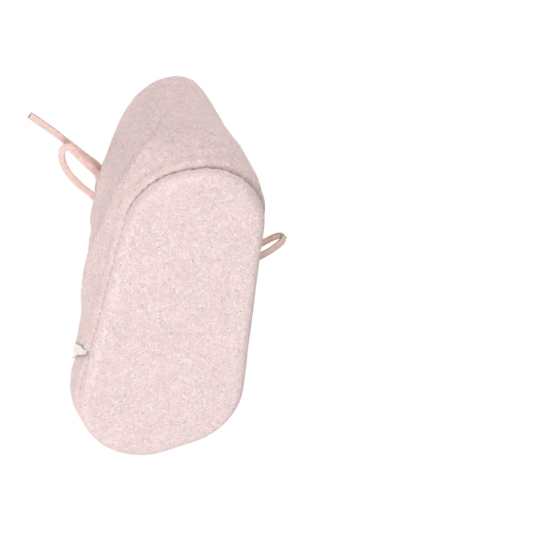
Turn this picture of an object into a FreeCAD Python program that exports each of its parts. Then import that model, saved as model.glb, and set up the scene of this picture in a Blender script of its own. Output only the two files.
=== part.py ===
import FreeCAD, Part
import math
import os
import Sketcher

# A baby's soft lace-up bootie, for the right foot. Millimetres.
# +Z is up, the toe points to -Y, and +X is the medial side (big toe).
# The origin lies on the flat underside of the sole.

Vector = FreeCAD.Vector
os.makedirs("parts", exist_ok=True)
doc = FreeCAD.newDocument("baby_bootie")
sheet = doc.addObject("Spreadsheet::Sheet", "sizes")

SIZES = [
    # The sole's outline is the hull of four circles: big toe, inner heel, outer heel and outer ball.
    ("toe_x", 6.6), ("toe_y", -36.7), ("toe_radius", 24.4),
    ("heel_x", 0.4), ("heel_y", 34.0), ("heel_radius", 23.8),
    ("corner_x", -2.6), ("corner_y", 37.5), ("corner_radius", 21.0),
    ("ball_x", -1.8), ("ball_y", -31.2), ("ball_radius", 25.9),
    # The outsole is a tray of thick felt that is rounded below and turned up at its edge.
    ("rim_height", 6.5), ("floor_thickness", 2.0), ("rim_width", 5.0),
    ("bottom_round", 4.4), ("seam_round", 1.5),
    ("insole_clearance", 0.3), ("foam_height", 3.4), ("sock_height", 1.2), ("layer_gap", 0.25),
    # The upper's layers, each counted inwards from the outer surface.
    ("quarter_thickness", 1.5), ("vamp_thickness", 1.5), ("lining_thickness", 1.2),
    # Angles round the upper, in radians from the centre of the toe.
    ("edge_at_sole", 0.995), ("edge_at_ankle", 0.23), ("overlap_angle", 0.16), ("butt_angle", 0.012),
    # Heights up the upper: 0 at the sole seam, 1 at the top edge.
    ("edge_rise", 0.10), ("edge_turn", 0.62), ("throat", 0.64),
    ("layers_top", 0.965), ("collar_bottom", 0.972),
    ("tongue_base", 0.61), ("tongue_turn", 0.12), ("tongue_half_angle", 0.62), ("tongue_top_angle", 0.86),
    ("tongue_depth_low", 5.8), ("tongue_depth_high", 8.7), ("tongue_thickness", 1.6),
    ("hole_angle", 0.52), ("lower_hole", 0.72), ("upper_hole", 0.88), ("hole_radius", 2.2),
    ("cutter_rise", 3.0), ("cutter_length", 12.0),
    ("lace_diameter", 2.4), ("lace_stand_off", 3.1), ("lace_fold", 2.9),
    ("lace_clearance", 0.45), ("lace_bow", 0.35),
    ("knot_x", 0.0), ("knot_y", -23.0), ("knot_z", 66.0),
    ("knot_half_width", 5.5), ("knot_half_depth", 3.6), ("knot_half_height", 4.2),
    # Where the lace leaves the knot for the upper holes, from the knot's middle.
    ("exit_side", 2.5), ("exit_back", 2.2), ("exit_drop", 0.5),
    # The threads: the two rows beside the quarter's front edge, the sole's seam and the collar's hem.
    ("thread_diameter", 0.7), ("thread_stand_off", 0.65), ("seam_inset", 0.25), ("seam_lift", 0.12),
    ("near_row", 1.6), ("far_row", 4.2), ("rows_start", 0.05), ("rows_end", 0.55),
    ("hem_height", 0.935), ("hem_start", 0.08),
    # The folded tag, beside the quarter's medial front edge.
    ("tag_thickness", 0.8), ("tag_low", 0.02), ("tag_high", 0.17), ("tag_near", 0.02), ("tag_far", 0.09),
]

# Each level of the upper is a ring that slopes from its front point to its back point.
LEVEL_FIELDS = ("front_y", "front_z", "back_y", "back_z", "medial", "lateral", "lean", "roundness")
LEVELS = [
    (-60.3, 6.7, 57.6, 6.7, 30.2, 27.0, 0.0, 0.00),
    (-64.2, 14.0, 60.3, 15.0, 33.6, 29.3, 0.0, 0.08),
    (-63.2, 22.5, 60.4, 25.0, 34.0, 29.2, -0.3, 0.20),
    (-55.5, 30.5, 58.9, 35.0, 32.0, 28.3, -0.8, 0.36),
    (-43.0, 37.0, 56.7, 45.0, 30.5, 27.7, -1.4, 0.55),
    (-29.5, 42.5, 54.5, 55.0, 29.8, 26.5, -2.0, 0.75),
    (-20.0, 51.5, 52.7, 65.0, 27.8, 24.7, -2.6, 0.90),
    (-15.5, 63.0, 51.8, 75.0, 24.6, 22.7, -3.2, 1.00),
    (-14.0, 75.0, 51.9, 84.0, 21.3, 20.8, -3.6, 1.00),
]

# Routes of the free laces, from the knot outwards.
LOOP_MEDIAL = [
    (4.0, -24.4, 64.6), (10.8, -20.2, 69.4), (16.4, -12.4, 74.0), (20.0, -3.6, 76.8), (21.4, 4.2, 77.8),
    (21.6, 10.4, 77.0), (23.3, 14.5, 74.2), (25.2, 16.7, 72.8), (27.8, 19.2, 72.2), (30.8, 22.0, 72.1),
    (33.4, 24.7, 72.2), (35.6, 26.2, 72.4), (37.3, 25.0, 72.6), (37.5, 22.3, 72.8), (36.7, 19.2, 72.9),
    (35.2, 16.2, 72.9), (33.0, 13.4, 72.6), (30.0, 10.8, 71.8), (26.8, 8.4, 71.2), (23.9, 6.3, 71.6),
    (21.9, 2.8, 72.8), (20.2, -2.6, 73.2), (17.4, -9.6, 71.4), (12.0, -15.8, 68.2), (5.0, -21.6, 64.4),
]
LOOP_LATERAL = [
    (-4.0, -24.8, 64.2), (-11.6, -25.6, 62.2), (-19.4, -22.6, 60.2), (-27.0, -17.8, 58.6),
    (-34.2, -12.4, 57.4), (-40.6, -7.6, 56.8), (-45.0, -4.0, 57.0), (-48.0, -1.4, 58.2),
    (-48.6, -0.9, 61.0), (-46.4, -2.4, 63.0), (-42.6, -5.4, 63.3), (-36.6, -9.8, 63.0),
    (-29.4, -14.2, 63.4), (-21.2, -17.8, 64.6), (-12.6, -20.4, 65.8), (-4.0, -21.8, 66.8),
]
END_MEDIAL = [
    (2.5, -21.6, 69.0), (6.8, -18.4, 73.8), (11.0, -11.6, 78.0), (14.8, -3.2, 80.6), (17.6, 5.2, 81.8),
    (20.0, 11.6, 81.0), (22.8, 15.0, 79.8), (26.8, 17.9, 79.3), (31.8, 21.6, 79.4), (37.2, 25.6, 79.6),
    (43.2, 29.8, 79.8), (49.6, 33.9, 80.0),
]
END_LATERAL = [
    (-3.6, -22.4, 68.6), (-9.6, -18.8, 69.6), (-14.8, -13.2, 69.4), (-19.4, -6.8, 68.8),
    (-23.2, 0.4, 67.6), (-26.0, 7.6, 66.2), (-27.8, 15.0, 64.6),
]
ROUTES = {"lace_loop_medial": LOOP_MEDIAL, "lace_loop_lateral": LOOP_LATERAL,
          "lace_end_medial": END_MEDIAL, "lace_end_lateral": END_LATERAL}
CIRCLES = ("toe", "heel", "corner", "ball")       # anticlockwise, seen from above


def fill_sheet():
    cells = list(SIZES)
    for number, level in enumerate(LEVELS):
        cells += [("level%d_%s" % (number, field), size) for field, size in zip(LEVEL_FIELDS, level)]
    for row, (name, size) in enumerate(cells, start=1):
        sheet.set("A%d" % row, name)
        sheet.set("B%d" % row, str(size))
        sheet.setAlias("B%d" % row, name)
    doc.recompute()


def size(name):
    return float(sheet.get(name))


fill_sheet()
TURN = 2 * math.pi
STATIONS = [[size("level%d_%s" % (n, field)) for field in LEVEL_FIELDS] for n in range(len(LEVELS))]


# The sole's outline

def circle(name):
    return Vector(size(name + "_x"), size(name + "_y"), 0), size(name + "_radius")


def outer_normal(first, second):
    """Normal of the straight edge that touches two circles, on the right of the way between them."""
    (centre_a, radius_a), (centre_b, radius_b) = circle(first), circle(second)
    way = centre_b - centre_a
    along = (radius_a - radius_b) / way.Length
    way.normalize()
    side = Vector(way.y, -way.x, 0)
    return way * along + side * math.sqrt(1 - along * along)


def neighbours(name):
    place = CIRCLES.index(name)
    return CIRCLES[place - 1], CIRCLES[(place + 1) % len(CIRCLES)]


def outline_edges(inset):
    """The outline, moved inwards by inset: an arc for each circle and the straight edges between them."""
    edges = []
    for name in CIRCLES:
        before, after = neighbours(name)
        centre, radius = circle(name)
        start, end = outer_normal(before, name), outer_normal(name, after)
        first = math.atan2(start.y, start.x)
        last = math.atan2(end.y, end.x)
        if last < first:
            last += TURN
        flat = Part.Circle(centre, Vector(0, 0, 1), radius - inset)
        edges.append(Part.ArcOfCircle(flat, first, last))
        next_centre, next_radius = circle(after)
        edges.append(Part.LineSegment(centre + end * (radius - inset),
                                      next_centre + end * (next_radius - inset)))
    return edges


def reach(angle):
    """Distance from the origin to the outline. Angle 0 is the toe, a quarter turn is medial."""
    way = Vector(math.sin(angle), -math.cos(angle), 0)
    furthest = 0.0
    for name in CIRCLES:
        centre, radius = circle(name)
        middle = way.dot(centre)
        under_root = middle * middle - centre.dot(centre) + radius * radius
        if under_root >= 0:
            furthest = max(furthest, middle + math.sqrt(under_root))
        after = neighbours(name)[1]
        normal = outer_normal(name, after)
        next_centre, next_radius = circle(after)
        start, end = centre + normal * radius, next_centre + normal * next_radius
        if way.dot(normal) > 0.01:
            distance = start.dot(normal) / way.dot(normal)
            along = (way * distance - start).dot(end - start)
            if 0 <= along <= (end - start).dot(end - start):
                furthest = max(furthest, distance)
    return furthest


OUTLINE_TOE = min(circle(name)[0].y - circle(name)[1] for name in CIRCLES)
OUTLINE_HEEL = max(circle(name)[0].y + circle(name)[1] for name in CIRCLES)
OUTLINE_MEDIAL = max(circle(name)[0].x + circle(name)[1] for name in CIRCLES)
OUTLINE_LATERAL = -min(circle(name)[0].x - circle(name)[1] for name in CIRCLES)
ANGLE_STEP = HEIGHT_STEP = 0.02      # for the surface's directions, by differences
reach_known = {}


def outline_shares(angle):
    """Where the outline lies at an angle: share of the half width, and share of the length."""
    key = round(angle, 6)
    if key not in reach_known:
        distance = reach(angle)
        x, y = distance * math.sin(angle), -distance * math.cos(angle)
        width = OUTLINE_MEDIAL if x > 0 else OUTLINE_LATERAL
        reach_known[key] = (x / width, (y - OUTLINE_TOE) / (OUTLINE_HEEL - OUTLINE_TOE))
    return reach_known[key]


# The upper's outer surface

def level(height):
    """The level's values at a height of 0 to 1, on a smooth curve through the stations."""
    place = min(max(height, 0.0), 1.0) * (len(STATIONS) - 1)
    low = min(int(place), len(STATIONS) - 2)
    share = place - low
    b, c = STATIONS[low], STATIONS[low + 1]
    a = STATIONS[low - 1] if low > 0 else [2 * p - q for p, q in zip(b, c)]
    d = STATIONS[low + 2] if low + 2 < len(STATIONS) else [2 * q - p for p, q in zip(b, c)]
    return [0.5 * (2 * q + (r - p) * share + (2 * p - 5 * q + 4 * r - s) * share ** 2
                   + (3 * q - p - 3 * r + s) * share ** 3) for p, q, r, s in zip(a, b, c, d)]


def surface(angle, height):
    front_y, front_z, back_y, back_z, medial, lateral, lean, roundness = level(height)
    across, along = outline_shares(angle)
    across = (1 - roundness) * across + roundness * math.sin(angle)
    along = (1 - roundness) * along + roundness * (1 - math.cos(angle)) / 2
    width = medial if across > 0 else lateral
    return Vector(width * across + lean * (1 + along) / 2,
                  front_y + (back_y - front_y) * along,
                  front_z + (back_z - front_z) * along)


def normal(angle, height):
    low, high = max(height - HEIGHT_STEP, 0.0), min(height + HEIGHT_STEP, 1.0)
    round_way = surface(angle + ANGLE_STEP, height) - surface(angle - ANGLE_STEP, height)
    up_way = surface(angle, high) - surface(angle, low)
    outward = round_way.cross(up_way)
    return outward.normalize()


def skin(angle, height, depth):
    """A point below the outer surface, at a depth measured inwards."""
    return surface(angle, height) - normal(angle, height) * depth


# Solids made from surfaces and from routes

def ruled_side(outer, inner):
    same_direction = 1
    return Part.makeRuledSurface(outer.toShape(), inner.toShape(), same_direction)


BACK_GRID, TOE_GRID, COLLAR_GRID, TONGUE_GRID, TAG_GRID = (73, 33), (49, 21), (73, 4), (13, 13), (5, 4)


def thick_sheet(place, outer_depth, inner_depth, grid_size):
    """A closed solid between two depths. place(s, t) gives the angle and the height."""
    columns, rows = grid_size
    faces = []
    surfaces = []
    for depth in (outer_depth, inner_depth):
        grid = []
        for column in range(columns):
            line = []
            for row in range(rows):
                angle, height = place(column / (columns - 1), row / (rows - 1))
                here = depth(angle, height) if callable(depth) else depth
                line.append(skin(angle, height, here))
            grid.append(line)
        smooth = Part.BSplineSurface()
        smooth.interpolate(grid)
        surfaces.append(smooth)
        faces.append(smooth.toShape())
    outer, inner = surfaces
    first_u, last_u, first_v, last_v = outer.bounds()
    inner_first_u, inner_last_u, inner_first_v, inner_last_v = inner.bounds()
    faces.append(ruled_side(outer.uIso(first_u), inner.uIso(inner_first_u)))
    faces.append(ruled_side(outer.uIso(last_u), inner.uIso(inner_last_u)))
    faces.append(ruled_side(outer.vIso(first_v), inner.vIso(inner_first_v)))
    faces.append(ruled_side(outer.vIso(last_v), inner.vIso(inner_last_v)))
    shell = Part.makeShell(faces)
    shell.sewShape()
    solid = Part.makeSolid(shell)
    assert shell.isClosed(), "a sheet's faces don't close"
    if solid.Volume < 0:
        solid.reverse()
    return solid


def tube_path(points, fold=None):
    """Straight runs joined by tangent arcs. A fold limits the arcs' radius."""
    points = [Vector(*point) for point in points]
    edges = []
    radii = []
    begin = points[0]
    for before, corner, after in zip(points, points[1:], points[2:]):
        towards, onwards = before - corner, after - corner
        shorter = min(towards.Length, onwards.Length)
        towards.normalize()
        onwards.normalize()
        half_turn = (math.pi - towards.getAngle(onwards)) / 2
        cut = 0.45 * shorter
        if fold:
            cut = min(cut, fold * math.tan(half_turn))
        radius = cut / math.tan(half_turn)
        start, end = corner + towards * cut, corner + onwards * cut
        bisector = (towards + onwards).normalize()
        middle = corner + bisector * (radius / math.cos(half_turn) - radius)
        edges.append(Part.LineSegment(begin, start).toShape())
        edges.append(Part.Arc(start, middle, end).toShape())
        radii.append(radius)
        begin = end
    edges.append(Part.LineSegment(begin, points[-1]).toShape())
    return Part.Wire(edges), radii


def tube(name, points, diameter, fold=None):
    path, radii = tube_path(points, fold)
    first = path.Edges[0]
    way = first.tangentAt(first.FirstParameter)
    section = Part.Wire(Part.Circle(first.valueAt(first.FirstParameter), way, diameter / 2).toShape())
    solid = path.makePipeShell([section], True, True)
    expected = math.pi * diameter ** 2 / 4 * path.Length
    print("%-24s length %6.1f  volume share %.4f  smallest radius %.1f"
          % (name, path.Length, solid.Volume / expected, min(radii)))
    return solid


def feature(name, shape):
    made = doc.addObject("Part::Feature", name)
    made.Label = name
    made.Shape = shape
    made.Placement = FreeCAD.Placement()
    return made


# Flat pieces of the sole

def outline_sketch(body, name, inset_expression, inset, plane_height=None):
    """The outline as a fully constrained sketch, with every radius less the inset."""
    sketch = body.newObject("Sketcher::SketchObject", name)
    plane = [item for item in body.Origin.OriginFeatures if item.Role == "XY_Plane"][0]
    sketch.AttachmentSupport = (plane, [""])
    sketch.MapMode = "FlatFace"
    if plane_height:
        sketch.setExpression("AttachmentOffset.Base.z", "sizes." + plane_height)
    for edge in outline_edges(inset):
        sketch.addGeometry(edge, False)
    for number, circle_name in enumerate(CIRCLES):
        arc = 2 * number
        following = (arc + 2) % (2 * len(CIRCLES))
        sketch.addConstraint(Sketcher.Constraint("Tangent", arc, 2, arc + 1, 1))
        sketch.addConstraint(Sketcher.Constraint("Tangent", arc + 1, 2, following, 1))
        centre, radius = circle(circle_name)
        limit = sketch.addConstraint(Sketcher.Constraint("Radius", arc, radius - inset))
        sketch.setExpression("Constraints[%d]" % limit,
                             "sizes.%s_radius - %s" % (circle_name, inset_expression))
        for kind, letter, place in (("DistanceX", "x", centre.x), ("DistanceY", "y", centre.y)):
            ends = (-1, 1, arc, 3) if place > 0 else (arc, 3, -1, 1)
            sign = "" if place > 0 else "-"
            limit = sketch.addConstraint(Sketcher.Constraint(kind, *ends, abs(place)))
            sketch.setExpression("Constraints[%d]" % limit, "%ssizes.%s_%s" % (sign, circle_name, letter))
    return sketch


def round_edges(body, base, name, radius_name, chosen):
    """Rounds the edges of the base feature that chosen(edge) picks."""
    doc.recompute()
    picked = ["Edge%d" % (n + 1) for n, edge in enumerate(base.Shape.Edges) if chosen(edge)]
    fillet = body.newObject("PartDesign::Fillet", name)
    fillet.Base = (base, picked)
    fillet.setExpression("Radius", "sizes." + radius_name)
    return fillet


def make_outsole():
    body = doc.addObject("PartDesign::Body", "outsole")
    body.Label = "outsole"
    pad = body.newObject("PartDesign::Pad", "sole_block")
    pad.Profile = outline_sketch(body, "sole_outline", "0", 0.0)
    pad.setExpression("Length", "sizes.rim_height")
    rim = size("rim_height")
    below = round_edges(body, pad, "rounded_underside", "bottom_round",
                        lambda edge: edge.BoundBox.ZMax < 0.01)
    above = round_edges(body, below, "turned_edge", "seam_round",
                        lambda edge: edge.BoundBox.ZMin > rim - 0.01)
    doc.recompute()
    full = above.Shape.Volume
    pocket = body.newObject("PartDesign::Pocket", "foam_recess")
    pocket.Profile = outline_sketch(body, "recess_outline", "sizes.rim_width", size("rim_width"),
                                    "rim_height")
    pocket.setExpression("Length", "sizes.rim_height - sizes.floor_thickness")
    doc.recompute()
    print("outsole recess takes out %.0f mm3" % (full - pocket.Shape.Volume))
    assert pocket.Shape.Volume < 0.8 * full, "the recess cuts nothing"


def make_insole_layer(name, height_name, base_expression):
    body = doc.addObject("PartDesign::Body", name)
    body.Label = name
    inset = size("rim_width") + size("insole_clearance")
    pad = body.newObject("PartDesign::Pad", name + "_pad")
    pad.Profile = outline_sketch(body, name + "_outline",
                                 "(sizes.rim_width + sizes.insole_clearance)", inset)
    pad.setExpression("Length", "sizes." + height_name)
    body.setExpression("Placement.Base.z", base_expression)


# The upper

def edge_angle(height):
    """The angle of the quarter's front edge: upright at the sole, then forwards to the lacing flaps."""
    rise = size("edge_rise")
    share = min(max((height - rise) / (size("edge_turn") - rise), 0.0), 1.0)
    share = share * share * (3 - 2 * share)
    return size("edge_at_sole") + (size("edge_at_ankle") - size("edge_at_sole")) * share


def around_back(extra, low, high):
    """Places on a piece that runs round the heel from one front edge to the other."""
    def place(s, t):
        height = low + (high - low) * t
        start = edge_angle(height) + extra
        return start + (TURN - 2 * start) * s, height
    return place


def over_toe(extra, low, high):
    """Places on a piece that runs over the toe, from the lateral to the medial side."""
    def place(s, t):
        height = low + (high - low) * t
        return (edge_angle(height) + extra) * (2 * s - 1), height
    return place


def hole_cutter(angle, height):
    """A cylinder that starts outside the upper and ends inside it."""
    out = normal(angle, height)
    start = surface(angle, height) + out * size("cutter_rise")
    return Part.makeCylinder(size("hole_radius"), size("cutter_length"), start, out * -1)


def lace_holes():
    sides = (size("hole_angle"), TURN - size("hole_angle"))
    return [(side, size(hole)) for side in sides for hole in ("lower_hole", "upper_hole")]


def punched(solid):
    for angle, height in lace_holes():
        before = solid.Volume
        solid = solid.cut(hole_cutter(angle, height))
        assert solid.Volume < before - 1, "a lace hole cuts nothing"
    return solid.Solids[0]


def tongue_depth(extra):
    low, high = size("tongue_depth_low"), size("tongue_depth_high")

    def depth(angle, height):
        share = min(max((height - size("tongue_base")) / size("tongue_turn"), 0.0), 1.0)
        return low + (high - low) * share * share * (3 - 2 * share) + extra
    return depth


def on_tongue(s, t):
    height = size("tongue_base") + (1 - size("tongue_base")) * t
    narrow, wide = size("tongue_half_angle"), size("tongue_top_angle")
    half = narrow + (wide - narrow) * min(2 * t, 1.0)
    return half * (2 * s - 1), height


def on_tag(s, t):
    height = size("tag_low") + (size("tag_high") - size("tag_low")) * t
    return edge_angle(height) - size("tag_far") + (size("tag_far") - size("tag_near")) * s, height


def make_upper():
    gap = size("layer_gap")
    quarter_inner = size("quarter_thickness")
    middle_outer = quarter_inner + gap
    middle_inner = middle_outer + size("vamp_thickness")
    lining_outer = middle_inner + gap
    lining_inner = lining_outer + size("lining_thickness")
    top = size("layers_top")
    overlap, butt = size("overlap_angle"), size("butt_angle")
    feature("quarter", punched(thick_sheet(around_back(0.0, 0.0, 1.0), 0.0, quarter_inner, BACK_GRID)))
    behind_vamp = around_back(overlap + 2 * butt, 0.0, top)
    feature("quarter_interlining",
            punched(thick_sheet(behind_vamp, middle_outer, middle_inner, BACK_GRID)))
    feature("quarter_lining",
            punched(thick_sheet(around_back(butt, 0.0, top), lining_outer, lining_inner, BACK_GRID)))
    feature("vamp",
            thick_sheet(over_toe(overlap, 0.0, size("throat")), middle_outer, middle_inner, TOE_GRID))
    feature("vamp_lining",
            thick_sheet(over_toe(-butt, 0.0, size("throat")), lining_outer, lining_inner, TOE_GRID))
    around_top = around_back(0.0, size("collar_bottom"), 1.0)
    feature("collar_edge", thick_sheet(around_top, middle_outer, lining_inner, COLLAR_GRID))
    tongue_inner = size("tongue_thickness")
    feature("tongue", thick_sheet(on_tongue, tongue_depth(0.0), tongue_depth(tongue_inner), TONGUE_GRID))
    feature("tongue_lining",
            thick_sheet(on_tongue, tongue_depth(tongue_inner + gap),
                        tongue_depth(tongue_inner + gap + size("lining_thickness")), TONGUE_GRID))
    tag_inner = middle_outer - gap
    feature("side_tag", thick_sheet(on_tag, tag_inner - size("tag_thickness"), tag_inner, TAG_GRID))


# The laces

def ladder_route():
    """One lace through the four holes: knot, upper hole, up inside the flap, lower hole, and across."""
    out_by = size("lace_stand_off")
    layers = size("quarter_thickness") + size("vamp_thickness") + size("lining_thickness")
    in_by = layers + 2 * size("layer_gap") + size("lace_diameter") / 2 + size("lace_clearance")
    middle = (size("upper_hole") + size("lower_hole")) / 2
    knot = Vector(size("knot_x"), size("knot_y"), size("knot_z"))

    def by_hole(side, hole, depth):
        return skin(side * size("hole_angle"), size(hole), depth)
    half = []
    for side in (1, -1):
        leaving = Vector(side * size("exit_side"), size("exit_back"), -size("exit_drop"))
        half.append([knot + leaving, by_hole(side, "upper_hole", -out_by),
                     by_hole(side, "upper_hole", in_by),
                     skin(side * size("hole_angle"), middle, in_by + size("lace_bow")),
                     by_hole(side, "lower_hole", in_by), by_hole(side, "lower_hole", -out_by)])
    between = skin(0.0, size("lower_hole"), -out_by)
    return half[0] + [between] + half[1][::-1]


def make_laces():
    diameter = size("lace_diameter")
    knot = doc.addObject("Part::Ellipsoid", "lace_knot")
    knot.Label = "lace_knot"
    knot.Angle1, knot.Angle2, knot.Angle3 = -90, 90, 360
    for radius, name in (("Radius1", "knot_half_height"), ("Radius2", "knot_half_width"),
                         ("Radius3", "knot_half_depth")):
        knot.setExpression(radius, "sizes." + name)
    for letter in "xyz":
        knot.setExpression("Placement.Base." + letter, "sizes.knot_" + letter)
    feature("lace_ladder", tube("lace_ladder", ladder_route(), diameter, size("lace_fold")))
    for name, route in ROUTES.items():
        feature(name, tube(name, route, diameter))


# The threads

ROW_POINTS, HEM_POINTS = 16, 49


def seam_thread():
    """A ring in the valley between the outsole's turned edge and the upper."""
    lift = Vector(0, 0, size("rim_height") + size("seam_lift"))
    path = Part.Wire([edge.toShape() for edge in outline_edges(size("seam_inset"))])
    path.translate(lift)
    first = path.Edges[0]
    start = first.valueAt(first.FirstParameter)
    way = first.tangentAt(first.FirstParameter)
    ring = Part.Wire(Part.Circle(start, way, size("thread_diameter") / 2).toShape())
    return path.makePipeShell([ring], True, True)


def edge_thread_route(side, beside):
    """One row of the double stitching beside the quarter's front edge."""
    route = []
    for number in range(ROW_POINTS):
        height = size("rows_start") + (size("rows_end") - size("rows_start")) * number / (ROW_POINTS - 1)
        edge = surface(edge_angle(height), height)
        along = surface(edge_angle(height) + ANGLE_STEP, height) - edge
        angle = edge_angle(height) + ANGLE_STEP * beside / along.Length
        route.append(skin(side * angle, height, -size("thread_stand_off")))
    return route


def make_threads():
    diameter = size("thread_diameter")
    feature("sole_seam_thread", seam_thread())
    for name, side in (("quarter_stitch_medial", 1), ("quarter_stitch_lateral", -1)):
        rows = [tube(name, edge_thread_route(side, size(row)), diameter) for row in ("near_row", "far_row")]
        feature(name, Part.makeCompound(rows))
    start = edge_angle(1.0) + size("hem_start")
    inside = (size("quarter_thickness") + size("vamp_thickness") + size("lining_thickness")
              + 2 * size("layer_gap") + size("thread_stand_off"))
    around = [skin(start + (TURN - 2 * start) * n / (HEM_POINTS - 1), size("hem_height"), inside)
              for n in range(HEM_POINTS)]
    feature("collar_stitch", tube("collar_stitch", around, diameter))


def check_and_export():
    doc.recompute()
    for item in doc.Objects:
        bad = [word for word in item.State if word in ("Invalid", "Error")]
        assert not bad, "%s is %s" % (item.Name, bad)
    nodes = [item for item in doc.Objects
             if item.TypeId in ("PartDesign::Body", "Part::Feature", "Part::Ellipsoid")]
    for item in nodes:
        shape = item.Shape
        assert not shape.isNull() and shape.isValid(), item.Label + " has a bad shape"
        print("%-24s %9.1f mm3  x %6.1f %6.1f  y %6.1f %6.1f  z %5.1f %5.1f"
              % (item.Label, shape.Volume, shape.BoundBox.XMin, shape.BoundBox.XMax, shape.BoundBox.YMin,
                 shape.BoundBox.YMax, shape.BoundBox.ZMin, shape.BoundBox.ZMax))
        shape.exportStep("parts/%s.step" % item.Label)
    print(len(nodes), "pieces")


make_outsole()
make_insole_layer("insole_foam", "foam_height", "sizes.floor_thickness + sizes.layer_gap")
make_insole_layer("insole_sock", "sock_height",
                  "sizes.floor_thickness + 2 * sizes.layer_gap + sizes.foam_height")
make_upper()
make_laces()
make_threads()
check_and_export()
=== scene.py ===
import math
import random

import bmesh
import bpy
import numpy as np
from mathutils import Matrix, Vector, noise


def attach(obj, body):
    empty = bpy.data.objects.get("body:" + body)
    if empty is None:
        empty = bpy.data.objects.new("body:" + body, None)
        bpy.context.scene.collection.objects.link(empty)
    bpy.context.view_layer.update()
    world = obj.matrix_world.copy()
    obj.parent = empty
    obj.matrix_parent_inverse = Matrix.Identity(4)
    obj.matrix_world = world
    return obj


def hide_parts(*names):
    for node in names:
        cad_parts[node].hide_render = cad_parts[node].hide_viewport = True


# A baby's soft felt bootie. Blender works in metres. The shape's own numbers are in millimetres and
# become metres in make_mesh(); only the laces are laid out in metres. Angles run round the upper:
# 0 at the toe, pi / 2 on the medial side, pi at the heel. Heights run up the upper: 0 at the sole
# seam, 1 at the top edge.

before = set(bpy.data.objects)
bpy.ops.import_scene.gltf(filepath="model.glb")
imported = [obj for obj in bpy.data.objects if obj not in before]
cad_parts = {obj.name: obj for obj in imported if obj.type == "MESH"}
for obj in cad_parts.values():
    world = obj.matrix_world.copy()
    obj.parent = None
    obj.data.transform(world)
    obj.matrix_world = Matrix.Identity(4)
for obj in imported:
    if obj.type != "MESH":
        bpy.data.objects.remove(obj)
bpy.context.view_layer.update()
MM = 0.001
TURN = 2 * math.pi

# The sole's outline is the hull of four circles, anticlockwise from above: x, y, radius.
CIRCLES = [(6.6, -36.7, 24.4), (0.4, 34.0, 23.8), (-2.6, 37.5, 21.0), (-1.8, -31.2, 25.9)]
RIM_HEIGHT = 6.5
# Each level of the upper is a ring that slopes from its front point to its back point:
# front y and z, back y and z, medial and lateral half width, lean, roundness.
LEVELS = np.array([
    (-60.3, 6.7, 57.6, 6.7, 30.2, 27.0, 0.0, 0.00),
    (-64.2, 14.0, 60.3, 15.0, 33.6, 29.3, 0.0, 0.08),
    (-63.2, 22.5, 60.4, 25.0, 34.0, 29.2, -0.3, 0.20),
    (-55.5, 30.5, 58.9, 35.0, 32.0, 28.3, -0.8, 0.36),
    (-43.0, 37.0, 56.7, 45.0, 30.5, 27.7, -1.4, 0.55),
    (-29.5, 42.5, 54.5, 55.0, 29.8, 26.5, -2.0, 0.75),
    (-20.0, 51.5, 52.7, 65.0, 27.8, 24.7, -2.6, 0.90),
    (-15.5, 63.0, 51.8, 75.0, 24.6, 22.7, -3.2, 1.00),
    (-14.0, 75.0, 51.9, 84.0, 21.3, 20.8, -3.6, 1.00),
])
# Depths of the upper's layers below its outer surface, and the air between two layers.
QUARTER = (0.0, 1.5)
MIDDLE = (1.75, 3.25)
LINING = (3.5, 4.7)
LAYER_GAP = 0.25
# The quarter's front edge leans from one angle to the other between two heights.
EDGE_AT_SOLE, EDGE_AT_ANKLE, EDGE_RISE, EDGE_TURN = 0.995, 0.23, 0.10, 0.62
# Angles by which the vamp runs under that edge, and by which the linings stop short of it.
OVERLAP, BUTT = 0.16, 0.012
# Heights where the vamp ends, where the inner layers end, and where the collar roll begins.
THROAT, LAYERS_TOP, COLLAR_BOTTOM = 0.64, 0.965, 0.972
# The lace holes' angle on each side, their two heights, and their radius.
HOLE_ANGLE, LOWER_HOLE, UPPER_HOLE, HOLE_RADIUS = 0.52, 0.72, 0.88, 2.2
# The tongue's two thicknesses, the height of its root, the height over which it moves inwards, its
# depths before and after that, and its half angles at the root and at the top.
TONGUE_FELT, TONGUE_COTTON = 1.6, 1.2
TONGUE_BASE, TONGUE_TURN, TONGUE_LOW, TONGUE_HIGH = 0.61, 0.12, 5.8, 8.7
TONGUE_ROOT_HALF, TONGUE_TOP_HALF = 0.62, 0.86

# The soft fold on the medial side, as angles and heights: it runs back along the lower wall, then
# up beside the heel. Its crest and the dip above it are in millimetres.
FOLD_LINE = [
    (1.20, 0.32), (1.50, 0.29), (1.91, 0.235), (2.20, 0.205), (2.46, 0.163), (2.64, 0.128),
    (2.76, 0.155), (2.84, 0.23), (2.89, 0.33), (2.93, 0.46), (2.97, 0.60), (3.01, 0.74),
]
FOLD_STEPS = 60
FOLD_RISE, FOLD_DIP = 1.9, 3.3
# The gathers at the sole seam: how far the felt swells above it, dives into it and puckers.
SEAM_LIP, SEAM_DIVE = 1.1, 0.75
PUCKERS, PUCKER_DEPTH = 56, 0.10

# The cord's nominal diameter, in metres, and half its section's width and thickness.
LACE_WIDE, LACE_THICK = 0.00121, 0.00088
KNOT = Vector((0.0, -0.0230, 0.0660))
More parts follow.
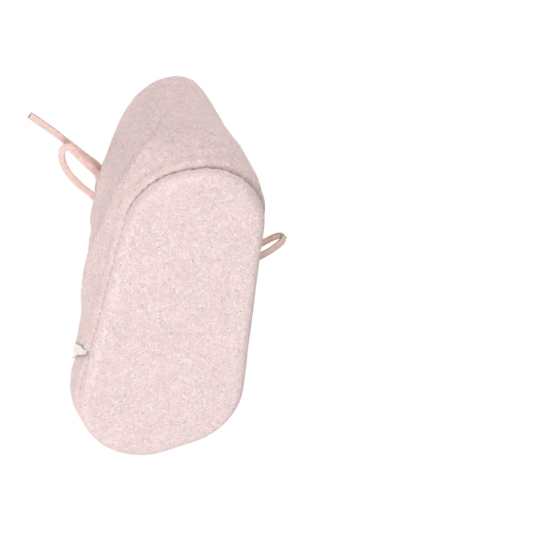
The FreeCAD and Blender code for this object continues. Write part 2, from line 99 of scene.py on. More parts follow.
# The free laces' routes, in metres, from the knot outwards.
LOOP_MEDIAL = [
    (0.0040, -0.0244, 0.0646), (0.0108, -0.0202, 0.0694), (0.0164, -0.0124, 0.0740),
    (0.0200, -0.0036, 0.0768), (0.0214, 0.0042, 0.0778), (0.0216, 0.0104, 0.0770),
    (0.0233, 0.0145, 0.0742), (0.0252, 0.0167, 0.0728), (0.0278, 0.0192, 0.0722),
    (0.0308, 0.0220, 0.0721), (0.0334, 0.0247, 0.0722), (0.0356, 0.0262, 0.0724),
    (0.0373, 0.0250, 0.0726), (0.0375, 0.0223, 0.0728), (0.0367, 0.0192, 0.0729),
    (0.0352, 0.0162, 0.0729), (0.0330, 0.0134, 0.0726), (0.0300, 0.0108, 0.0718),
    (0.0268, 0.0084, 0.0712), (0.0239, 0.0063, 0.0716), (0.0219, 0.0028, 0.0728),
    (0.0202, -0.0026, 0.0732), (0.0174, -0.0096, 0.0714), (0.0120, -0.0158, 0.0682),
    (0.0050, -0.0216, 0.0644),
]
LOOP_LATERAL = [
    (-0.0040, -0.0248, 0.0642), (-0.0116, -0.0256, 0.0622), (-0.0194, -0.0226, 0.0602),
    (-0.0270, -0.0178, 0.0586), (-0.0342, -0.0124, 0.0574), (-0.0406, -0.0076, 0.0568),
    (-0.0450, -0.0040, 0.0570), (-0.0480, -0.0014, 0.0582), (-0.0486, -0.0009, 0.0610),
    (-0.0464, -0.0024, 0.0630), (-0.0426, -0.0054, 0.0633), (-0.0366, -0.0098, 0.0630),
    (-0.0294, -0.0142, 0.0634), (-0.0212, -0.0178, 0.0646), (-0.0126, -0.0204, 0.0658),
    (-0.0040, -0.0218, 0.0668),
]
END_MEDIAL = [
    (0.0025, -0.0216, 0.0690), (0.0068, -0.0184, 0.0738), (0.0110, -0.0116, 0.0780),
    (0.0148, -0.0032, 0.0806), (0.0176, 0.0052, 0.0818), (0.0200, 0.0116, 0.0810),
    (0.0228, 0.0150, 0.0798), (0.0268, 0.0179, 0.0793), (0.0318, 0.0216, 0.0794),
    (0.0372, 0.0256, 0.0796), (0.0432, 0.0298, 0.0798), (0.0496, 0.0339, 0.0800),
]
END_LATERAL = [
    (-0.0036, -0.0224, 0.0686), (-0.0096, -0.0188, 0.0696), (-0.0148, -0.0132, 0.0694),
    (-0.0194, -0.0068, 0.0688), (-0.0232, 0.0004, 0.0676), (-0.0260, 0.0076, 0.0662),
    (-0.0278, 0.0150, 0.0646),
]

random.seed(7)


# Camera, lights and floor

def make_camera():
    """A long lens that looks up at the sole from beyond the heel. Returns its up and back."""
    aim = Vector((0.0, 0.005, 0.035))
    shift_right, shift_down = 0.0350, 0.0043
    sideways, heelwards, roll, distance = 0.19, 0.53, math.radians(9.4), 0.640
    back = Vector((sideways, heelwards, -math.sqrt(1 - sideways ** 2 - heelwards ** 2)))
    right = (-back).cross(Vector((0, 1, 0))).normalized()
    up = right.cross(-back)
    right, up = right * math.cos(roll) + up * math.sin(roll), up * math.cos(roll) - right * math.sin(roll)
    place = aim + back * distance
    forward = (aim + right * shift_right - up * shift_down - place).normalized()
    right = forward.cross(up).normalized()
    up = right.cross(forward)
    data = bpy.data.cameras.new("camera")
    data.lens = 120.0
    data.sensor_width = 36.0
    camera = bpy.data.objects.new("camera", data)
    rotation = Matrix((right, up, -forward)).transposed()
    camera.matrix_world = Matrix.Translation(place) @ rotation.to_4x4()
    bpy.context.scene.collection.objects.link(camera)
    bpy.context.scene.camera = camera
    return up, back


def make_light(name, place, size, power):
    data = bpy.data.lights.new(name, "AREA")
    data.shape = "DISK"
    data.size = size
    data.energy = power
    light = bpy.data.objects.new(name, data)
    light.location = place
    light.rotation_mode = "QUATERNION"
    light.rotation_quaternion = (Vector((0, 0, 0.03)) - Vector(place)).to_track_quat("-Z", "Y")
    light.visible_camera = False
    bpy.context.scene.collection.objects.link(light)


def make_studio():
    """A world that is white to the camera and soft and warm to everything else, with four lights."""
    scene = bpy.context.scene
    scene.view_settings.view_transform = "Standard"
    world = bpy.data.worlds.new("studio")
    scene.world = world
    world.use_nodes = True
    nodes, links = world.node_tree.nodes, world.node_tree.links
    ambient = nodes["Background"]
    ambient.inputs["Color"].default_value = (1.0, 0.955, 0.94, 1)
    direction = nodes.new("ShaderNodeTexCoord")
    split = nodes.new("ShaderNodeSeparateXYZ")
    dimmer = nodes.new("ShaderNodeMapRange")
    for name, value in (("From Min", -1.0), ("From Max", 0.0), ("To Min", 0.36), ("To Max", 0.66)):
        dimmer.inputs[name].default_value = value
    links.new(direction.outputs["Generated"], split.inputs[0])
    links.new(split.outputs["X"], dimmer.inputs["Value"])
    links.new(dimmer.outputs[0], ambient.inputs["Strength"])
    backdrop = nodes.new("ShaderNodeBackground")
    backdrop.inputs["Color"].default_value = (1, 1, 1, 1)
    backdrop.inputs["Strength"].default_value = 1.0
    path = nodes.new("ShaderNodeLightPath")
    mix = nodes.new("ShaderNodeMixShader")
    links.new(path.outputs["Is Camera Ray"], mix.inputs[0])
    links.new(ambient.outputs[0], mix.inputs[1])
    links.new(backdrop.outputs[0], mix.inputs[2])
    links.new(mix.outputs[0], nodes["World Output"].inputs["Surface"])
    make_light("below_medial", (0.26, 0.02, -0.70), 0.35, 3.2)
    make_light("behind_heel", (-0.12, 0.72, 0.20), 0.35, 1.8)
    make_light("above_key", (0.45, -0.50, 0.75), 0.40, 3.0)
    make_light("above_fill", (-0.60, -0.10, 0.55), 0.60, 1.5)


def make_floor():
    """A pale floor that only the camera sees, from above, and that fades out with distance."""
    mesh = bpy.data.meshes.new("floor")
    half = 2.0
    corners = [(-half, -half, 0), (half, -half, 0), (half, half, 0), (-half, half, 0)]
    mesh.from_pydata(corners, [], [(0, 1, 2, 3)])
    floor = bpy.data.objects.new("floor", mesh)
    floor.location.z = -0.0002
    bpy.context.scene.collection.objects.link(floor)
    material = bpy.data.materials.new("pale_floor")
    material.use_nodes = True
    nodes, links = material.node_tree.nodes, material.node_tree.links
    shader = nodes["Principled BSDF"]
    shader.inputs["Base Color"].default_value = (0.80, 0.79, 0.78, 1)
    shader.inputs["Roughness"].default_value = 0.8
    clear = nodes.new("ShaderNodeBsdfTransparent")
    geometry = nodes.new("ShaderNodeNewGeometry")
    path = nodes.new("ShaderNodeLightPath")
    seen = nodes.new("ShaderNodeMath")
    seen.operation = "SUBTRACT"
    seen.use_clamp = True
    far = nodes.new("ShaderNodeVectorMath")
    far.operation = "LENGTH"
    fade = nodes.new("ShaderNodeMapRange")
    fade.interpolation_type = "SMOOTHSTEP"
    for name, value in (("From Min", 0.10), ("From Max", 0.42), ("To Min", 1.0), ("To Max", 0.0)):
        fade.inputs[name].default_value = value
    both = nodes.new("ShaderNodeMath")
    both.operation = "MULTIPLY"
    mix = nodes.new("ShaderNodeMixShader")
    links.new(path.outputs["Is Camera Ray"], seen.inputs[0])
    links.new(geometry.outputs["Backfacing"], seen.inputs[1])
    links.new(geometry.outputs["Position"], far.inputs[0])
    links.new(far.outputs["Value"], fade.inputs["Value"])
    links.new(seen.outputs[0], both.inputs[0])
    links.new(fade.outputs[0], both.inputs[1])
    links.new(both.outputs[0], mix.inputs[0])
    links.new(clear.outputs[0], mix.inputs[1])
    links.new(shader.outputs[0], mix.inputs[2])
    links.new(mix.outputs[0], nodes["Material Output"].inputs["Surface"])
    mesh.materials.append(material)


# Materials

class Graph:
    """Short forms for the nodes of one material."""

    def __init__(self, name):
        self.material = bpy.data.materials.new(name)
        self.material.use_nodes = True
        self.nodes = self.material.node_tree.nodes
        self.links = self.material.node_tree.links
        self.shader = self.nodes["Principled BSDF"]
        self.place = self.nodes.new("ShaderNodeTexCoord").outputs["Object"]

    def noise(self, scale, detail, rough=0.6, twist=0.0):
        node = self.nodes.new("ShaderNodeTexNoise")
        node.inputs["Scale"].default_value = scale
        node.inputs["Detail"].default_value = detail
        node.inputs["Roughness"].default_value = rough
        node.inputs["Distortion"].default_value = twist
        self.links.new(self.place, node.inputs["Vector"])
        return node.outputs["Fac"]

    def ramp(self, value, low, high):
        node = self.nodes.new("ShaderNodeMapRange")
        node.interpolation_type = "SMOOTHSTEP"
        node.inputs["From Min"].default_value = low
        node.inputs["From Max"].default_value = high
        self.links.new(value, node.inputs["Value"])
        return node.outputs["Result"]

    def mix(self, share, first, second):
        node = self.nodes.new("ShaderNodeMix")
        node.data_type = "RGBA"
        self.links.new(share, node.inputs["Factor"])
        for colour, socket in ((first, node.inputs[6]), (second, node.inputs[7])):
            if isinstance(colour, tuple):
                socket.default_value = (*colour, 1)
            else:
                self.links.new(colour, socket)
        return node.outputs[2]

    def math(self, kind, first, second):
        node = self.nodes.new("ShaderNodeMath")
        node.operation = kind
        for value, socket in ((first, node.inputs[0]), (second, node.inputs[1])):
            if isinstance(value, (int, float)):
                socket.default_value = value
            else:
                self.links.new(value, socket)
        return node.outputs[0]

    def tint(self, colour, other, mask, share):
        """Mixes in another colour where the mask is high, by at most a share."""
        return self.mix(self.math("MULTIPLY", mask, share), colour, other)

    def bump(self, height, depth, strength, below=None):
        node = self.nodes.new("ShaderNodeBump")
        node.inputs["Strength"].default_value = strength
        node.inputs["Distance"].default_value = depth
        self.links.new(height, node.inputs["Height"])
        if below:
            self.links.new(below, node.inputs["Normal"])
        return node.outputs["Normal"]

    def finish(self, colour, roughness, normal, sheen, sheen_colour, specular):
        self.links.new(colour, self.shader.inputs["Base Color"])
        self.shader.inputs["Roughness"].default_value = roughness
        self.shader.inputs["Specular IOR Level"].default_value = specular
        self.shader.inputs["Sheen Weight"].default_value = sheen
        self.shader.inputs["Sheen Roughness"].default_value = 0.55
        self.shader.inputs["Sheen Tint"].default_value = (*sheen_colour, 1)
        self.links.new(normal, self.shader.inputs["Normal"])
        return self.material


def felt(name, light, dark, fleck):
    """Boiled-wool felt: matted fibres, soft mottling, and sparse flecks, both darker and paler."""
    graph = Graph(name)
    grey = tuple(0.72 * a + 0.28 * b for a, b in zip(dark, (0.56, 0.50, 0.56)))
    warm = tuple(0.60 * a + 0.40 * b for a, b in zip(light, (0.86, 0.74, 0.62)))
    pale = tuple(min(0.97, 1.12 * c) for c in light)
    clouds = graph.ramp(graph.noise(75, 3, 0.55), 0.36, 0.66)
    colour = graph.tint(light, dark, clouds, 0.30)
    beige = graph.ramp(graph.noise(230, 2, 0.6, 0.7), 0.52, 0.70)
    colour = graph.tint(colour, warm, beige, 0.45)
    patches = graph.ramp(graph.noise(460, 3, 0.6, 0.6), 0.38, 0.66)
    colour = graph.tint(colour, dark, patches, 0.50)
    fibres = graph.noise(1150, 4, 0.7, 1.6)
    colour = graph.tint(colour, grey, graph.ramp(fibres, 0.46, 0.60), 0.68)
    flecks = graph.ramp(graph.noise(1250, 1, 0.5, 0.8), 0.64, 0.72)
    colour = graph.tint(colour, fleck, flecks, 0.72)
    specks = graph.ramp(graph.noise(1000, 1, 0.5, 0.8), 0.60, 0.70)
    colour = graph.tint(colour, pale, specks, 0.95)
    low = graph.bump(graph.noise(420, 3, 0.6, 0.6), 0.00035, 0.6)
    high = graph.bump(fibres, 0.00035, 1.0, low)
    return graph.finish(colour, 0.93, high, 0.25, (1.0, 0.93, 0.92), 0.18)


def brushed_cotton(name, light, dark):
    """Cream lining: a fine twill under a short nap."""
    graph = Graph(name)
    rib = graph.nodes.new("ShaderNodeTexWave")
    rib.wave_type = "BANDS"
    rib.bands_direction = "DIAGONAL"
    rib.inputs["Scale"].default_value = 330
    rib.inputs["Distortion"].default_value = 1.2
    rib.inputs["Detail"].default_value = 2
    rib.inputs["Detail Scale"].default_value = 3
    graph.links.new(graph.place, rib.inputs["Vector"])
    nap = graph.noise(1600, 4, 0.7, 1.2)
    colour = graph.mix(graph.ramp(graph.noise(90, 3), 0.35, 0.65), light, dark)
    colour = graph.tint(colour, dark, rib.outputs["Fac"], 0.30)
    colour = graph.tint(colour, dark, graph.ramp(nap, 0.45, 0.65), 0.35)
    normal = graph.bump(rib.outputs["Fac"], 0.00010, 0.6)
    normal = graph.bump(nap, 0.00016, 0.8, normal)
    return graph.finish(colour, 0.92, normal, 0.2, (1, 0.98, 0.94), 0.2)


def lace_leather(name, light, dark, grain_depth, roughness):
    """Soft leather with a fine pebbled grain."""
    graph = Graph(name)
    pores = graph.nodes.new("ShaderNodeTexVoronoi")
    pores.feature = "DISTANCE_TO_EDGE"
    pores.inputs["Scale"].default_value = 2200
    graph.links.new(graph.place, pores.inputs["Vector"])
    grain = graph.ramp(pores.outputs["Distance"], 0.0, 0.22)
    long = graph.noise(260, 3, 0.6, 0.4)
    colour = graph.mix(graph.ramp(long, 0.35, 0.65), light, dark)
    colour = graph.tint(colour, dark, graph.ramp(graph.noise(2400, 3, 0.7), 0.45, 0.62), 0.35)
    normal = graph.bump(grain, grain_depth, 0.5)
    normal = graph.bump(graph.noise(1300, 4, 0.7), grain_depth, 0.7, normal)
    return graph.finish(colour, roughness, normal, 0.05, (1, 0.95, 0.9), 0.4)


def sewing_thread(name, light, dark):
    """Soft thread, a little darker and lower between its fibres."""
    graph = Graph(name)
    ply = graph.noise(3800, 2, 0.6, 0.5)
    colour = graph.mix(graph.ramp(ply, 0.40, 0.62), light, dark)
    return graph.finish(colour, 0.7, graph.bump(ply, 0.00008, 0.8), 0.15, (1, 0.95, 0.95), 0.4)


def woven_tape(name, light, dark):
    """A fine plain weave."""
    graph = Graph(name)
    waves = []
    for direction in ("X", "Z"):
        wave = graph.nodes.new("ShaderNodeTexWave")
        wave.bands_direction = direction
        wave.inputs["Scale"].default_value = 900
        wave.inputs["Distortion"].default_value = 0.6
        graph.links.new(graph.place, wave.inputs["Vector"])
        waves.append(wave.outputs["Fac"])
    weave = graph.math("MULTIPLY", *waves)
    colour = graph.mix(graph.ramp(weave, 0.1, 0.6), dark, light)
    return graph.finish(colour, 0.6, graph.bump(weave, 0.00010, 0.8), 0.1, (1, 1, 1), 0.4)


def make_materials():
    """Felts have light, dark and fleck colours; the others have light and dark ones."""
    return {
        "sole": felt("sole_felt", (0.98, 0.805, 0.80), (0.77, 0.605, 0.61), (0.50, 0.35, 0.38)),
        "upper": felt("upper_felt", (0.96, 0.768, 0.752), (0.73, 0.568, 0.564), (0.44, 0.30, 0.32)),
        "lining": brushed_cotton("cream_cotton", (0.86, 0.79, 0.69), (0.70, 0.61, 0.51)),
        "wadding": brushed_cotton("wadding", (0.86, 0.83, 0.79), (0.70, 0.67, 0.62)),
        "lace": lace_leather("lace_pink_face", (0.90, 0.70, 0.655), (0.80, 0.585, 0.54),
                             0.00006, 0.55),
        # The lace's edges and underside: a darker tan that is painted shade.
        "lace_shaded_side": lace_leather("lace_side_painted_shade", (0.62, 0.49, 0.35), (0.48, 0.36, 0.24),
                              0.00012, 0.85),
        "thread": sewing_thread("pink_thread", (0.74, 0.53, 0.51), (0.52, 0.34, 0.34)),
        "seam_thread": sewing_thread("mauve_thread", (0.56, 0.40, 0.405), (0.40, 0.28, 0.285)),
        "tag": woven_tape("white_tape", (0.90, 0.89, 0.86), (0.72, 0.71, 0.68)),
    }


# The sole's outline and the upper's surface, from numpy arrays of angles and heights

def smooth(value):
    """An S-curve from 0 to 1."""
    value = np.clip(value, 0, 1)
    return value * value * (3 - 2 * value)


def bell(value, middle, width):
    """1 at the middle, falling away on both sides."""
    return np.exp(-((value - middle) / width) ** 2)


def wrapped(angle):
    """The same angle between -pi and pi."""
    return (angle + math.pi) % TURN - math.pi


def outer_normals():
    """For each circle, the normal of the straight edge that leads to the next one."""
    found = []
    for (ax, ay, ar), (bx, by, br) in zip(CIRCLES, CIRCLES[1:] + CIRCLES[:1]):
        way = np.array((bx - ax, by - ay))
        along = (ar - br) / np.linalg.norm(way)
        way = way / np.linalg.norm(way)
        found.append(way * along + np.array((way[1], -way[0])) * math.sqrt(1 - along ** 2))
    return found


def reach(angle, inset=0.0):
    """Distance from the origin to the outline, moved inwards by inset."""
    way = np.stack((np.sin(angle), -np.cos(angle)), -1)
    furthest = np.zeros(way.shape[:-1])
    ends = CIRCLES[1:] + CIRCLES[:1]
    for (ax, ay, ar), (bx, by, br), normal in zip(CIRCLES, ends, outer_normals()):
        ar, br = ar - inset, br - inset
        centre = np.array((ax, ay))
        middle = way @ centre
        root = middle ** 2 - centre @ centre + ar ** 2
        furthest = np.maximum(furthest, np.where(root > 0, middle + np.sqrt(np.maximum(root, 0)), 0))
        start, end = centre + normal * ar, np.array((bx, by)) + normal * br
        facing = way @ normal
        distance = (start @ normal) / np.maximum(facing, 0.01)
        along = ((way * distance[..., None] - start) @ (end - start)) / ((end - start) @ (end - start))
        on_edge = (facing > 0.01) & (along >= 0) & (along <= 1)
        furthest = np.where(on_edge, np.maximum(furthest, distance), furthest)
    return furthest


OUTLINE_TOE = min(y - r for x, y, r in CIRCLES)
OUTLINE_HEEL = max(y + r for x, y, r in CIRCLES)
OUTLINE_MEDIAL = max(x + r for x, y, r in CIRCLES)
OUTLINE_LATERAL = -min(x - r for x, y, r in CIRCLES)


def level(height):
    """The eight numbers of the ring at each height, on a smooth curve through the levels."""
    place = np.clip(height, 0, 1) * (len(LEVELS) - 1)
    low = np.minimum(place.astype(int), len(LEVELS) - 2)
    share = (place - low)[..., None]
    padded = np.vstack((2 * LEVELS[0] - LEVELS[1], LEVELS, 2 * LEVELS[-1] - LEVELS[-2]))
    a, b, c, d = (padded[low + n] for n in range(4))
    return 0.5 * (2 * b + (c - a) * share + (2 * a - 5 * b + 4 * c - d) * share ** 2
                  + (3 * b - a - 3 * c + d) * share ** 3)


def surface(angle, height):
    """Points in millimetres of the upper's plain surface, before the soft layers swell."""
    angle, height = np.broadcast_arrays(np.asarray(angle, float), np.asarray(height, float))
    front_y, front_z, back_y, back_z, medial, lateral, lean, roundness = np.moveaxis(level(height), -1, 0)
    distance = reach(angle)
    x, y = distance * np.sin(angle), -distance * np.cos(angle)
    across = x / np.where(x > 0, OUTLINE_MEDIAL, OUTLINE_LATERAL)
    along = (y - OUTLINE_TOE) / (OUTLINE_HEEL - OUTLINE_TOE)
    across = (1 - roundness) * across + roundness * np.sin(angle)
    along = (1 - roundness) * along + roundness * (1 - np.cos(angle)) / 2
    width = np.where(across > 0, medial, lateral)
    return np.stack((width * across + lean * (1 + along) / 2,
                     front_y + (back_y - front_y) * along,
                     front_z + (back_z - front_z) * along), -1)


def outward(angle, height):
    """The plain surface's unit normals."""
    step = 0.02
    low, high = np.maximum(height - step, 0.0), np.minimum(height + step, 1.0)
    round_way = surface(angle + step, height) - surface(angle - step, height)
    up_way = surface(angle, high) - surface(angle, low)
    normal = np.cross(round_way, up_way)
    return normal / np.linalg.norm(normal, axis=-1, keepdims=True)


def lumps(points, size, seed):
    """Smooth noise of about -1 to 1 at points in millimetres."""
    flat = points.reshape(-1, 3) / size + seed
    return np.array([noise.noise(Vector(p)) for p in flat]).reshape(points.shape[:-1]) * 1.6


def fold_curve():
    """Points along the fold, and the way up from it over the felt."""
    angles, heights = np.array(FOLD_LINE).T
    steps = np.linspace(0, len(angles) - 1, FOLD_STEPS)
    angles, heights = (np.interp(steps, range(len(angles)), v) for v in (angles, heights))
    half_window = 3
    kernel = np.ones(2 * half_window + 1) / (2 * half_window + 1)
    angles, heights = (np.convolve(np.pad(v, half_window, "edge"), kernel, "valid")
                       for v in (angles, heights))
    points = surface(angles, heights)
    up = np.cross(outward(angles, heights), np.gradient(points, axis=0))
    return points, up / np.linalg.norm(up, axis=-1, keepdims=True)


def fold_relief(base):
    """The fold's crest over the plain surface, which falls off slowly below and into a dip above.
    What changes along it is given by the nearest of its FOLD_STEPS points."""
    apart = base[..., None, :] - FOLD_POINTS
    gap = np.linalg.norm(apart, axis=-1)
    nearest = gap.argmin(-1)
    gap = gap.min(-1)
    above = np.take_along_axis((apart * FOLD_UP).sum(-1), nearest[..., None], -1)[..., 0] > 0
    slope = np.interp(nearest, (0, 28, 38), (6.5, 6.5, 2.4))
    crest = np.where(above, bell(gap, 0.0, 1.3), bell(gap, 0.0, slope))
    dip_start = 2.0
    dip = np.where(above, smooth(gap / dip_start) * bell(np.maximum(gap - dip_start, 0), 0.0, 5.5), 0.0)
    fade = np.interp(nearest, (0, 8, 44, 56), (0.0, 1.0, 1.0, 0.0))
    shallow = np.interp(nearest, (32, 50), (1.0, 0.0))
    return fade * (FOLD_RISE * crest - FOLD_DIP * shallow * dip)


def swelling(angle, height):
    """How far the soft layers stand out from the plain surface."""
    base = surface(angle, height)
    out = 0.50 * lumps(base, 19.0, 3.1) + 0.20 * lumps(base, 7.0, 8.7)
    out += fold_relief(base)
    # Wrinkles where the ankle bends, and calmer felt under the laces.
    side = np.abs(wrapped(angle))
    bend = bell(height, 0.62, 0.16) * bell(side, 1.10, 0.50)
    out += 0.9 * bend * np.sin(height * 44 + 2.2 * side + 2.2 * lumps(base, 30.0, 1.9))
    unlaced = np.clip((side - 0.62) / 0.25, 0, 1) + np.clip((0.62 - height) / 0.08, 0, 1)
    out *= np.clip(0.25 + unlaced, 0, 1)
    # The felt swells just above the sole seam, dives into it and is gathered by its stitches.
    lip = SEAM_LIP * bell(height, 0.036, 0.032)
    dive = SEAM_DIVE * np.exp(-height / 0.009)
    pucker = PUCKER_DEPTH * np.sin(angle * PUCKERS) * np.exp(-height / 0.05)
    return out * np.clip(height / 0.06, 0, 1) + lip - dive + pucker


def skin(angle, height, depth):
    """A point in millimetres at a depth below the soft outer surface."""
    angle, height = np.broadcast_arrays(np.asarray(angle, float), np.asarray(height, float))
    out = outward(angle, height)
    return surface(angle, height) + out * (swelling(angle, height) - depth)[..., None]


FOLD_POINTS, FOLD_UP = fold_curve()


def edge_angle(height):
    """The angle of the quarter's front edge at each height."""
    share = smooth((height - EDGE_RISE) / (EDGE_TURN - EDGE_RISE))
    return EDGE_AT_SOLE + (EDGE_AT_ANKLE - EDGE_AT_SOLE) * share


# Meshes

def make_mesh(name, points, faces, materials, indices=None):
    """A smooth-shaded piece from points in millimetres."""
    mesh = bpy.data.meshes.new(name)
    mesh.from_pydata([tuple(p) for p in np.asarray(points) * MM], [], faces)
    for material in materials:
        mesh.materials.append(material)
    if indices is not None:
        mesh.polygons.foreach_set("material_index", indices)
    mesh.polygons.foreach_set("use_smooth", [True] * len(mesh.polygons))
    mesh.update()
    piece = bpy.data.objects.new(name, mesh)
    bpy.context.scene.collection.objects.link(piece)
    return piece


def place_piece(piece, body, slot, *nodes):
    """Gives a piece its body and hides the CAD nodes that it stands for. Its slot is not used."""
    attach(piece, body)
    if nodes:
        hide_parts(*nodes)


def close_steps(count):
    """Shares from 0 to 1, close together at both ends, for a rounded edge."""
    rim = (0.0, 0.0015, 0.004, 0.0075, 0.012, 0.018)
    inner = np.linspace(rim[-1], 1 - rim[-1], count)[1:-1]
    return np.concatenate((rim, inner, 1 - np.array(rim[::-1])))


def edge_distance(points):
    """Distance of each grid point from the nearest border of the grid."""
    found = np.full(points.shape[:2], 1e9)
    for axis in (0, 1):
        steps = np.linalg.norm(np.diff(points, axis=axis), axis=-1)
        zero = np.zeros_like(np.take(steps, [0], axis=axis))
        gone = np.concatenate((zero, np.cumsum(steps, axis=axis)), axis=axis)
        total = np.take(gone, [-1], axis=axis)
        found = np.minimum(found, np.minimum(gone, total - gone))
    return found


def panel(name, place, outer, inner, columns, rows, materials):
    """A cut piece of thick cloth with rounded edges. place(s, t) gives angles and heights; outer
    and inner are its two depths, each a number or a function of angle and height."""
    s, t = np.meshgrid(close_steps(columns), close_steps(rows), indexing="ij")
    angle, height = place(s, t)
    outer = outer(angle, height) if callable(outer) else np.full(s.shape, outer)
    inner = inner(angle, height) if callable(inner) else np.full(s.shape, inner)
    half = (inner - outer) / 2
    middle = skin(angle, height, (inner + outer) / 2)
    gap = edge_distance(middle)
    inwards = np.clip(1 - gap / half, 0, 1)
    roll = half * (1 - np.sqrt(1 - inwards ** 2))
    top = skin(angle, height, outer + roll)
    bottom = skin(angle, height, inner - roll)
    wide, tall = s.shape
    number = np.arange(wide * tall).reshape(wide, tall)
    border = np.zeros(s.shape, bool)
    border[[0, -1], :] = True
    border[:, [0, -1]] = True
    below = np.where(border, number, number + wide * tall)
    points = np.concatenate((top.reshape(-1, 3), bottom.reshape(-1, 3)))
    faces = []
    for grid, order in ((number, 1), (below, -1)):
        corners = np.stack((grid[:-1, :-1], grid[1:, :-1], grid[1:, 1:], grid[:-1, 1:]), -1)
        faces += [tuple(c) for c in corners.reshape(-1, 4)[:, ::order].tolist()]
    piece = make_mesh(name, points, faces, materials)
    tidy = bmesh.new()
    tidy.from_mesh(piece.data)
    loose = [v for v in tidy.verts if not v.link_faces]
    bmesh.ops.delete(tidy, geom=loose, context="VERTS")
    tidy.to_mesh(piece.data)
    tidy.free()
    return piece


def around_back(extra, low, high):
    """Places round the heel from one front edge to the other, less an extra angle at each."""
    def place(s, t):
        height = low + (high - low) * t
        start = edge_angle(height) + extra
        return start + (TURN - 2 * start) * s, height
    return place


def over_toe(extra, low, high):
    """Places over the toe between the front edges, with an extra angle at each."""
    def place(s, t):
        height = low + (high - low) * t
        return (edge_angle(height) + extra) * (2 * s - 1), height
    return place


# Laces and threads

def spline_points(name, route):
    """Points read from the smooth NURBS spline that a route's points control."""
    curve = bpy.data.curves.new(name + "_route", "CURVE")
    curve.dimensions = "3D"
    spline = curve.splines.new("NURBS")
    spline.points.add(len(route) - 1)
    for point, place in zip(spline.points, route):
        point.co = (*place, 1)
    spline.order_u = 3
    spline.use_endpoint_u = True
    curve.resolution_u = 14
    carrier = bpy.data.objects.new(name + "_route", curve)
    mesh = bpy.data.meshes.new_from_object(carrier)
    found = [v.co.copy() for v in mesh.vertices]
    bpy.data.objects.remove(carrier)
    bpy.data.meshes.remove(mesh)
    bpy.data.curves.remove(curve)
    return found


def frames(points, facings):
    """Across and outward vectors along a line, so that its broad face turns through the facings."""
    found = []
    last = len(points) - 1
    for n in range(len(points)):
        way = (points[min(n + 1, last)] - points[max(n - 1, 0)]).normalized()
        place = n / last * (len(facings) - 1)
        low = min(int(place), len(facings) - 2)
        facing = Vector(facings[low]).lerp(Vector(facings[low + 1]), place - low)
        facing = (facing - way * facing.dot(way)).normalized()
        found.append((facing.cross(way), facing))
    return found


def flat_cord(name, points, materials, facings, wide=LACE_WIDE, thick=LACE_THICK):
    """A leather cord in metres, with a rounded rectangular section. The broad face that its facings
    point to has the first material, and the rest of its skin has the second, darker one: painted shade."""
    corners = 24
    squareness = 2 / 3.6
    around = []
    for n in range(corners):
        turn = TURN * (n + 0.5) / corners
        x, y = math.cos(turn), math.sin(turn)
        around.append((math.copysign(abs(x) ** squareness, x) * wide,
                       math.copysign(abs(y) ** squareness, y) * thick))
    rings = []
    for point, (across, facing) in zip(points, frames(points, facings)):
        wave = 1 + 0.05 * noise.noise(point * 260)
        rings.append([point + across * x * wave + facing * y * wave for x, y in around])
    faces, indices = [], []
    for r in range(len(rings) - 1):
        for c in range(corners):
            following = (c + 1) % corners
            a, b = r * corners, (r + 1) * corners
            faces.append((a + c, a + following, b + following, b + c))
            middle = (around[c][1] + around[following][1]) / 2
            indices.append(0 if middle > 0.55 * thick else 1)
    for r, flip in ((0, True), (len(rings) - 1, False)):
        ring = [r * corners + c for c in range(corners)]
        faces.append(tuple(ring[::-1] if flip else ring))
        indices.append(1)
    vertices = np.array([tuple(v) for ring in rings for v in ring])
    return make_mesh(name, vertices / MM, faces, materials, indices)


def make_laces(materials, back, up):
    """The bow's loops and ends. back and up are the camera's: most pink faces point back to it."""
    pair = [materials["lace"], materials["lace_shaded_side"]]
    turned_away = up * 0.4 - back
    front, lateral = (0.2, -0.9, 0.3), (-1.0, 0.0, 0.1)
    cords = {
        "lace_loop_medial": (LOOP_MEDIAL, "object", (back, back, back, back)),
        "lace_loop_lateral": (LOOP_LATERAL, "object", (back, back - up * 0.9, turned_away)),
        "lace_end_medial": (END_MEDIAL, "bare", (back, back, back - up * 0.45)),
        "lace_end_lateral": (END_LATERAL, "bare", (front, (-0.8, -0.4, 0.2), lateral)),
    }
    for name, (route, far_end, facings) in cords.items():
        points = spline_points(name, route)
        piece = flat_cord(name + "_cord", points, pair, facings)
        place_piece(piece, "boot", "lace", name)


def hole_point(side, height, depth):
    """A point of the laced part in metres, where the felt lies flat under the laces."""
    angle, height = np.array(side * HOLE_ANGLE), np.array(height)
    return Vector(skin(angle, height, depth) * MM)


def make_ladder(materials):
    """The laced stretch: from the knot into the upper holes, down inside the flaps, out and across."""
    out_by, in_by, sag = -3.1, MIDDLE[1] + LAYER_GAP + LINING[1] - LINING[0] + 1.9, 0.35
    middle = (LOWER_HOLE + UPPER_HOLE) / 2
    halves = []
    for side in (1, -1):
        stops = ((UPPER_HOLE, out_by), (UPPER_HOLE, in_by), (middle, in_by + sag),
                 (LOWER_HOLE, in_by), (LOWER_HOLE, out_by))
        start = KNOT + Vector((side * 2.5, 2.2, -0.5)) * MM
        halves.append([start] + [hole_point(side, height, depth) for height, depth in stops])
    across = Vector(skin(np.array(0.0), np.array(LOWER_HOLE), out_by) * MM)
    route = halves[0] + [across] + halves[1][::-1]
    points = spline_points("lace_ladder", route)
    facings = [(0, -1, 0.3), (0.9, -0.4, 0), (0, -1, -0.2), (0, -1, 0.1), (0, -1, -0.2),
               (-0.9, -0.4, 0), (0, -1, 0.3)]
    piece = flat_cord("lace_ladder_cord", points, [materials["lace"], materials["lace_shaded_side"]], facings)
    place_piece(piece, "boot", "lace", "lace_ladder")


